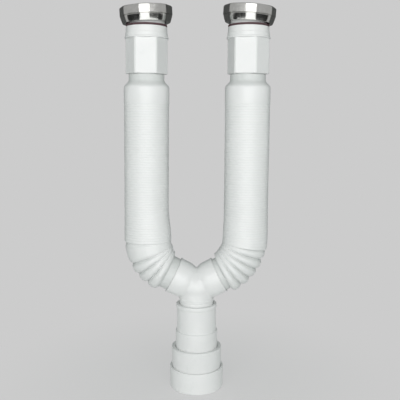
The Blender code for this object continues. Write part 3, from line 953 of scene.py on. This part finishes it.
def nut(arm):
    outline = [
        (NUT_FOOT_CORNER, 0), (NUT_WAIST_CORNER, NUT_CHAMFER),
        (NUT_SHOULDER_CORNER, NUT_SHOULDER_HEIGHT - NUT_GROOVE),
        (NUT_SHOULDER_CORNER - NUT_UNDERCUT, NUT_SHOULDER_HEIGHT),
        (NUT_CORNER, NUT_SHOULDER_HEIGHT + NUT_GROOVE),
        (NUT_CORNER, NUT_HEIGHT - NUT_CROWN), (NUT_CORNER - NUT_CROWN, NUT_HEIGHT),
    ]
    item = start_circle(f"{arm.name}_nut", *outline[0], sides=NUT_SIDES)
    bpy.ops.mesh.edge_face_add()
    bpy.ops.mesh.bevel(offset=NUT_ROUNDING, offset_type="OFFSET", segments=NUT_STEPS, affect="VERTICES")
    draw_rings(outline)
    close_mesh()
    carved(item, filled("bore", nut_bore()))
    eased(item, NUT_EDGE, angle=NUT_EDGE_ANGLE)
    placed(item, nut_frame(arm))
    return dressed(item, WORN_CHROME, f"{arm.name}_nut", f"{arm.name}_union_nut", crisp=True)


for arm in ARMS:
    print(nut(arm).name, "made")

# %% [markdown]
# Washers, grip rings and seals
# Rubber rings are simple but never sharp: the mould rounds them. One function turns a ring
# with a rounded section, for the washers, the grip rings and every hidden seal.

# %% Rubber rings
WASHER_OUTER = 19.2 * MM
WASHER_BORE = 15.6 * MM
WASHER_HEIGHT = 2.3 * MM
SEAL_HEIGHT = 2.0 * MM
BRANCH_LENGTH = 26.0 * MM
BRANCH_SOCKET_DEPTH = 12.0 * MM
BRANCH_BORE = 15.2 * MM
RING_EASE = 0.3
RIM_SEGMENTS = 4


def rubber_ring(node, inner, outer, foot, height, where, body, paint, slot):
    outline = [(inner, foot), (outer, foot), (outer, foot + height), (inner, foot + height)]
    item = turned(f"{node}_ring", outline)
    eased(item, RING_EASE * min(outer - inner, height), segments=RIM_SEGMENTS)
    placed(item, where)
    return dressed(item, paint, body, node)


for arm in ARMS:
    end = f"{arm.name}_end"
    where = arm.upright(TAIL_LEVEL, arm.tail_turn_deg)
    grip = (THROAT_OUTER + SLIP, GRIP_OUTER, COLLAR_TOP + SEAT, GRIP_HEIGHT)
    rubber_ring(f"{arm.name}_grip_ring", *grip, where, end, MAROON, "maroon_rubber")
    washer = (WASHER_BORE, WASHER_OUTER, FLANGE_TOP + SEAT, WASHER_HEIGHT)
    rubber_ring(f"{arm.name}_sealing_washer", *washer, where, end, MAROON, "maroon_rubber")
    hose_seal = (HOSE_NECK - HOSE_WALL, HOSE_NECK, TAIL_SOCKET_DEPTH - SEAL_HEIGHT - SEAT, SEAL_HEIGHT)
    rubber_ring(f"{arm.name}_hose_seal", *hose_seal, where, end, BLACK, "black_rubber")
    branch_seal = (BRANCH_BORE, CUFF_OUTER, 0, SEAL_HEIGHT)
    seat = arm.frame_at(BRANCH_LENGTH - BRANCH_SOCKET_DEPTH + SEAT)
    rubber_ring(f"{arm.name}_branch_seal", *branch_seal, seat, "root", BLACK, "black_rubber")
print("rubber rings made")

# %% [markdown]
# The outlet
# Three pieces nest in each other: a slim tube with a lip, a sleeve round its foot and the
# wide socket that takes the drain pipe. Each is a thin turned wall with rounded rims, and
# its top closes in on the piece that stands in it, so that only a thin line parts the two,
# as on the real pipe.

# %% Outlet
DRAIN_OUTER = 27.35 * MM
DRAIN_BORE = 25.3 * MM
DRAIN_HEIGHT = 22.0 * MM
DRAIN_MOUTH_DEPTH = 14.0 * MM
DRAIN_STOP = 1.5 * MM
DRAIN_STOP_BORE = 22.0 * MM
DRAIN_EDGE = 2.4 * MM
DRAIN_EDGE_SHARE = 0.55
DRAIN_EDGE_STEPS = 5
DRAIN_RIM = 0.45 * MM
DRAIN_SEAL_LEVEL = 7.0 * MM
DRAIN_SEAL_HEIGHT = 3.0 * MM
DRAIN_SEAL_DEPTH = 1.2 * MM
SLEEVE_FOOT = 25.1 * MM
SLEEVE_OUTER = 25.55 * MM
SLEEVE_HEIGHT = 26.9 * MM
SLEEVE_WALL = 2.05 * MM
SLEEVE_COLLAR = 2.5 * MM
SLEEVE_LEDGE_LEVEL = 10.2 * MM
SLEEVE_LEDGE = 2.0 * MM
SLEEVE_LEDGE_BORE = 18.6 * MM
SLEEVE_RIM = 0.6 * MM
SLEEVE_LEVEL = DRAIN_MOUTH_DEPTH + DRAIN_STOP + SEAT
TUBE_FOOT = SLEEVE_LEVEL + SLEEVE_LEDGE_LEVEL + SEAT
TUBE_LOWER = 21.3 * MM
TUBE_UPPER = 20.05 * MM
TUBE_WALL = 2.2 * MM
TUBE_STEP_LEVEL = 60.4 * MM
TUBE_TOP = 88.0 * MM
TUBE_LIP = 20.65 * MM
TUBE_LIP_HEIGHT = 4.0 * MM
TUBE_RIM = 0.4 * MM
TUBE_SEAL_HEIGHT = 3.0 * MM
NECK_OUTER = 17.0 * MM
NECK_BORE = 15.0 * MM
NECK_FOOT = 66.0 * MM
NECK_SEAL_LEVEL = 78.0 * MM
NECK_SEAL_HEIGHT = 3.0 * MM
NECK_SEAL_DEPTH = 1.8 * MM


def outlet_piece(node, outline, rim):
    """A turned wall with rounded rims, which stands for a node of the model."""
    item = eased(turned(f"{node}_shell", outline), rim, segments=RIM_SEGMENTS)
    return dressed(item, MOULDED_WHITE, "root", node)


def drain_socket():
    stop_top = DRAIN_MOUTH_DEPTH + DRAIN_STOP
    pocket = SLEEVE_FOOT + SEAT
    groove = DRAIN_BORE + DRAIN_SEAL_DEPTH
    groove_top = DRAIN_SEAL_LEVEL + DRAIN_SEAL_HEIGHT + 2 * SEAT
    outline = [(DRAIN_BORE, 0)]
    for step in range(DRAIN_EDGE_STEPS + 1):
        turn = math.pi / 2 * step / DRAIN_EDGE_STEPS
        inset = DRAIN_EDGE * DRAIN_EDGE_SHARE * (1 - math.sin(turn))
        outline.append((DRAIN_OUTER - inset, DRAIN_EDGE * (1 - math.cos(turn))))
    outline += [(DRAIN_OUTER, DRAIN_HEIGHT), (pocket, DRAIN_HEIGHT), (pocket, stop_top)]
    outline += [(DRAIN_STOP_BORE, stop_top), (DRAIN_STOP_BORE, DRAIN_MOUTH_DEPTH)]
    outline += [(DRAIN_BORE, DRAIN_MOUTH_DEPTH), (DRAIN_BORE, groove_top), (groove, groove_top)]
    outline += [(groove, DRAIN_SEAL_LEVEL), (DRAIN_BORE, DRAIN_SEAL_LEVEL)]
    return outlet_piece("drain_socket", outline, DRAIN_RIM)


def middle_sleeve():
    top = SLEEVE_LEVEL + SLEEVE_HEIGHT
    ledge = SLEEVE_LEVEL + SLEEVE_LEDGE_LEVEL
    under = ledge - SLEEVE_LEDGE
    foot_bore = SLEEVE_FOOT - SLEEVE_WALL
    mouth = SLEEVE_OUTER - SLEEVE_WALL
    collar = TUBE_LOWER + SLIP
    collar_foot = top - SLEEVE_COLLAR
    outline = [(foot_bore, SLEEVE_LEVEL), (SLEEVE_FOOT, SLEEVE_LEVEL), (SLEEVE_FOOT, DRAIN_HEIGHT)]
    outline += [(SLEEVE_OUTER, top), (collar, top), (collar, collar_foot), (mouth, collar_foot)]
    outline += [(mouth, ledge), (SLEEVE_LEDGE_BORE, ledge), (SLEEVE_LEDGE_BORE, under), (foot_bore, under)]
    return outlet_piece("middle_sleeve", outline, SLEEVE_RIM)


def outlet_tube():
    socket = NECK_OUTER + SLIP
    stop = NECK_FOOT - SEAT
    lower_bore = TUBE_LOWER - TUBE_WALL
    upper_bore = TUBE_UPPER - TUBE_WALL
    groove = NECK_OUTER + NECK_SEAL_DEPTH + SEAT
    groove_top = NECK_SEAL_LEVEL + NECK_SEAL_HEIGHT + 2 * SEAT
    lip_foot = TUBE_TOP - TUBE_LIP_HEIGHT
    step = TUBE_LIP - TUBE_UPPER
    outline = [(lower_bore, TUBE_FOOT), (TUBE_LOWER, TUBE_FOOT), (TUBE_LOWER, TUBE_STEP_LEVEL - step)]
    outline += [(TUBE_UPPER, TUBE_STEP_LEVEL), (TUBE_UPPER, lip_foot), (TUBE_LIP, lip_foot + step)]
    outline += [(TUBE_LIP, TUBE_TOP), (socket, TUBE_TOP), (socket, groove_top), (groove, groove_top)]
    outline += [(groove, NECK_SEAL_LEVEL), (socket, NECK_SEAL_LEVEL), (socket, stop)]
    outline += [(NECK_BORE, stop), (NECK_BORE, stop - TUBE_WALL), (upper_bore, stop - 2 * TUBE_WALL)]
    outline.append((lower_bore, TUBE_STEP_LEVEL - 2 * TUBE_WALL))
    return outlet_piece("outlet_tube", outline, TUBE_RIM)


for piece in (drain_socket(), middle_sleeve(), outlet_tube()):
    print(piece.name, len(piece.data.polygons), "faces")

# %% [markdown]
# The outlet's seals
# Each push fit has a rubber ring in a groove, out of sight. The arms' function makes them,
# so that the inside is right if the pipe is cut open.

# %% Outlet seals
OUTLET_SEALS = {
    "drain_seal": (
        DRAIN_BORE - DRAIN_SEAL_DEPTH / 2, DRAIN_BORE + DRAIN_SEAL_DEPTH - SEAT,
        DRAIN_SEAL_LEVEL + SEAT, DRAIN_SEAL_HEIGHT,
    ),
    "tube_seal": (TUBE_LOWER + SLIP, SLEEVE_OUTER - SLEEVE_WALL - SEAT, TUBE_FOOT, TUBE_SEAL_HEIGHT),
    "neck_seal": (
        NECK_OUTER + SEAT, NECK_OUTER + NECK_SEAL_DEPTH, NECK_SEAL_LEVEL + SEAT, NECK_SEAL_HEIGHT,
    ),
}
for node, sizes in OUTLET_SEALS.items():
    rubber_ring(node, *sizes, Matrix.Identity(4), "root", BLACK, "black_rubber")
print("outlet seals:", *OUTLET_SEALS)

# %% [markdown]
# The junction's skin
# The junction is the only piece that isn't turned: two branches swell out of the neck and
# end in domes that meet in a V notch, and every joint between them is soft, as moulders
# make it so that the plastic flows. Round shapes are joined by Boolean unions, a voxel
# remesh turns them into one even skin, and smoothing melts its creases.

# %% Junction skin
BRANCH_OUTER = 18.5 * MM
DOME_ALONG = 16.8 * MM
DOME_INSET = 0.01 * MM
HUB_DOME = 17.9 * MM
NECK_CUT = 95.0 * MM
OVERLAP = 4 * MM
SKIN_SIDES = 64
SKIN_VOXEL = 0.75 * MM
SKIN_SMOOTHING = 14


def ball(name, radius, centre):
    bpy.ops.object.select_all(action="DESELECT")
    bpy.ops.mesh.primitive_uv_sphere_add(
        segments=SKIN_SIDES, ring_count=SKIN_SIDES // 2, radius=radius, location=centre
    )
    item = bpy.context.object
    item.name = name
    bpy.ops.object.transform_apply(location=True, rotation=True, scale=True)
    return item


def junction_skin():
    """The soft outer skin, from a little below the branches to their ends."""
    neck = [(NECK_OUTER, NECK_CUT - OVERLAP), (NECK_OUTER, HUB_LEVEL)]
    skin = filled("y_junction_shell", neck, sides=SKIN_SIDES)
    carved(skin, ball("hub_dome", HUB_DOME, (0, 0, HUB_LEVEL)), "UNION")
    branch = [(BRANCH_OUTER, 0), (BRANCH_OUTER, BRANCH_LENGTH - DOME_ALONG + OVERLAP / 2)]
    for arm in ARMS:
        tube = filled("branch_tube", branch, sides=SKIN_SIDES)
        carved(skin, placed(tube, arm.frame_at(DOME_ALONG)), "UNION")
        dome = ball("branch_dome", BRANCH_OUTER - DOME_INSET, arm.frame_at(DOME_ALONG).translation)
        carved(skin, dome, "UNION")
    modify(skin, "REMESH", mode="VOXEL", voxel_size=SKIN_VOXEL)
    modify(skin, "SMOOTH", factor=0.5, iterations=SKIN_SMOOTHING)
    return skin


junction = junction_skin()
print(junction.name, len(junction.data.polygons), "faces")

# %% [markdown]
# The junction's ends and bores
# Sharp shapes are added after the smoothing, so that they stay crisp. The skin is cut
# square at its three ends, a turned neck and two collars are joined to it, and round tools
# open the bores, with a socket in each branch for the hose's cuff.

# %% Junction ends
BRANCH_LIP = 0.4 * MM
LIP_RISE = 3 * BRANCH_LIP
LIP_EDGE = 0.3 * MM
NECK_BEAD = 0.6 * MM
NECK_BEAD_LEVEL = 91.0 * MM
NECK_BEAD_HEIGHT = 2.4 * MM
NECK_INSET = 0.05 * MM
CUT_LENGTH = 20 * MM


def branches_tool(name, outline):
    """Round tools along both branches, joined where they meet at the hub."""
    first = placed(filled(name, outline), ARMS[0].frame_at(0))
    return carved(first, placed(filled("other", outline), ARMS[1].frame_at(0)), "UNION")


def trim_ends(item, trim):
    wide = 2 * BRANCH_OUTER
    for arm in ARMS:
        end = filled("end", [(wide, trim), (wide, trim + CUT_LENGTH)])
        carved(item, placed(end, arm.frame_at(0)))
    carved(item, filled("foot", [(wide, NECK_CUT - CUT_LENGTH), (wide, NECK_CUT)]))


def neck_outline():
    bead = NECK_OUTER + NECK_BEAD
    bead_top = NECK_BEAD_LEVEL + NECK_BEAD_HEIGHT
    return [
        (NECK_OUTER - NECK_BEAD, NECK_FOOT), (NECK_OUTER, NECK_FOOT + 2 * NECK_BEAD),
        (NECK_OUTER, NECK_BEAD_LEVEL), (bead, NECK_BEAD_LEVEL + NECK_BEAD), (bead, bead_top),
        (NECK_OUTER, bead_top + NECK_BEAD), (NECK_OUTER - NECK_INSET, NECK_CUT + OVERLAP),
    ]


def collar_outline(trim):
    lip = BRANCH_OUTER + BRANCH_LIP
    return [
        (CUFF_OUTER, trim - OVERLAP), (CUFF_OUTER, trim - BRANCH_LIP), (lip, trim),
        (lip, BRANCH_LENGTH - LIP_EDGE), (lip - LIP_EDGE, BRANCH_LENGTH),
    ]


def finish_junction(item):
    trim = BRANCH_LENGTH - LIP_RISE
    trim_ends(item, trim)
    carved(item, filled("neck", neck_outline()), "UNION")
    for arm in ARMS:
        carved(item, placed(filled("collar", collar_outline(trim)), arm.frame_at(0)), "UNION")
    carved(item, filled("neck_bore", [(NECK_BORE, NECK_FOOT - PAST), (NECK_BORE, HUB_LEVEL)]))
    socket = CUFF_OUTER + SLIP
    floor = BRANCH_LENGTH - BRANCH_SOCKET_DEPTH
    bores = [(BRANCH_BORE, -2 * PAST), (BRANCH_BORE, floor), (socket, floor), (socket, BRANCH_LENGTH + PAST)]
    carved(item, branches_tool("branch_bores", bores))
    return dressed(item, MOULDED_WHITE, "root", "y_junction")


finish_junction(junction)
print(junction.name, len(junction.data.polygons), "faces")

# %% [markdown]
# Light
# The photograph has one broad soft light from the camera's side and little from anywhere
# else: fronts are bright, flanks fall off to a cool grey. A large area lamp in front does
# that, with a dim world around it, which looks pale grey to the camera and to reflections.

# %% Light
PALE = 0.604
WORLD_LIGHT = (0.315, 0.345, 0.335)
KEY_PLACE = Vector((0.0, -1.45, 0.52))
KEY_AIM = Vector((0.0, 0.0, 0.20))
KEY_WIDTH = 2.0
KEY_HEIGHT = 1.0
KEY_POWER = 15.2
KEY_COLOUR = (1.0, 0.985, 0.99)


def behind_rays(tree):
    """1 for the rays that see the pale background: camera, glossy and transmission."""
    rays = tree.nodes.new("ShaderNodeLightPath")
    total = rays.outputs["Is Camera Ray"]
    for name in ("Is Glossy Ray", "Is Transmission Ray"):
        either = tree.nodes.new("ShaderNodeMath")
        either.operation = "MAXIMUM"
        tree.links.new(total, either.inputs[0])
        tree.links.new(rays.outputs[name], either.inputs[1])
        total = either.outputs[0]
    return total


world = bpy.data.worlds.new("studio")
bpy.context.scene.world = world
world.use_nodes = True
sky = world.node_tree
tint = sky.nodes.new("ShaderNodeMix")
tint.data_type = "RGBA"
tint.inputs["A"].default_value = (*WORLD_LIGHT, 1.0)
tint.inputs["B"].default_value = (PALE, PALE, PALE, 1.0)
sky.links.new(behind_rays(sky), tint.inputs["Factor"])
sky.links.new(tint.outputs["Result"], sky.nodes["Background"].inputs["Color"])

key_data = bpy.data.lights.new("key_light", "AREA")
key_data.shape = "RECTANGLE"
key_data.size = KEY_WIDTH
key_data.size_y = KEY_HEIGHT
key_data.energy = KEY_POWER
key_data.color = KEY_COLOUR
key = bpy.data.objects.new("key_light", key_data)
key.location = KEY_PLACE
key.rotation_euler = (KEY_AIM - KEY_PLACE).to_track_quat("-Z", "Y").to_euler()
bpy.context.scene.collection.objects.link(key)
print("lamp and world set")

# %% [markdown]
# Floor
# The floor glows in the background's pale grey, so no horizon is seen. Close to the pipe a
# share of it is plain cloth, which takes a real soft shadow, and that share fades with
# distance. Light that bounces off the floor sees only cloth.

# %% Floor
FLOOR_SIZE = 12.0
FLOOR_LEVEL = -0.05 * MM
FLOOR_CLOTH = (0.95, 0.95, 0.95)
SHADOW_SHARE = 0.3
SHADOW_REACH = 0.26


def pale_floor():
    bpy.ops.object.select_all(action="DESELECT")
    bpy.ops.mesh.primitive_plane_add(size=FLOOR_SIZE, location=(0, 0, FLOOR_LEVEL))
    floor = bpy.context.object
    floor.name = "floor"
    paint = Paint("pale_floor")
    cloth = paint.node("ShaderNodeBsdfDiffuse", {}, {"Color": (*FLOOR_CLOTH, 1.0)})
    glow = paint.node("ShaderNodeEmission", {}, {"Color": (PALE, PALE, PALE, 1.0)})
    away = paint.node("ShaderNodeVectorMath", {"operation": "LENGTH"}, {0: paint.place()}, output="Value")
    reach = {"Value": away, "From Min": 0.0, "From Max": SHADOW_REACH, "To Min": SHADOW_SHARE, "To Max": 0.0}
    share = paint.node("ShaderNodeMapRange", {"interpolation_type": "SMOOTHSTEP"}, reach)
    seen = paint.node("ShaderNodeMixShader", {}, {0: share, 1: glow, 2: cloth})
    either = Wire(paint, behind_rays(paint.tree))
    shown = paint.node("ShaderNodeMixShader", {}, {0: either, 1: cloth, 2: seen})
    paint.feed(paint.tree.nodes["Material Output"].inputs["Surface"], shown)
    floor.data.materials.append(paint.material)
    floor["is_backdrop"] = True


pale_floor()
print("floor set")

# %% [markdown]
# Cards
# Chrome shows what stands round it, so photographers shape it with cards: dark ones draw
# its dark bands and a bright one its highlight. Three sheets do so here. Only reflections
# see them, so they light nothing else and throw no shadow.

# %% Cards
CARDS = (
    ("card_behind", (2.6, 1.4), (0.0, 0.45, 0.3), 90, 0.15, 0.0),
    ("card_below", (2.6, 1.6), (0.0, -0.83, 0.02), 0, 0.04, 0.0),
    ("card_bright", (0.84, 1.3), (0.0, -0.85, 0.03), 0, 1.0, 1.2),
)


def card(name, size, place, pitch, shade, glow):
    """A sheet of this size in metres, pitched by these degrees, with a grey shade and its own glow."""
    bpy.ops.object.select_all(action="DESELECT")
    bpy.ops.mesh.primitive_plane_add(size=1.0, location=place, rotation=(math.radians(pitch), 0, 0))
    sheet = bpy.context.object
    sheet.name = name
    sheet.scale = (*size, 1)
    paint = Paint(name)
    paint.set(Base_Color=(shade, shade, shade, 1.0), Roughness=1.0, Specular_IOR_Level=0.0)
    paint.set(Emission_Color=(1.0, 1.0, 1.0, 1.0), Emission_Strength=glow)
    sheet.data.materials.append(paint.material)
    for sight in ("camera", "diffuse", "shadow", "transmission"):
        setattr(sheet, f"visible_{sight}", False)
    sheet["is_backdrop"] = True


for settings in CARDS:
    card(*settings)
print(len(CARDS), "cards set")

# %% [markdown]
# Sizes
# The boxes of the engineering model and of the dressed one are gathered side by side in one table.

# %% Gather the sizes and finish
VISUAL_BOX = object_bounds()
sizes = {
    "cad": [list(corner) for corner in CAD_BOX],
    "visual": [list(corner) for corner in VISUAL_BOX],
}
print("visual box in mm:", in_mm(VISUAL_BOX))
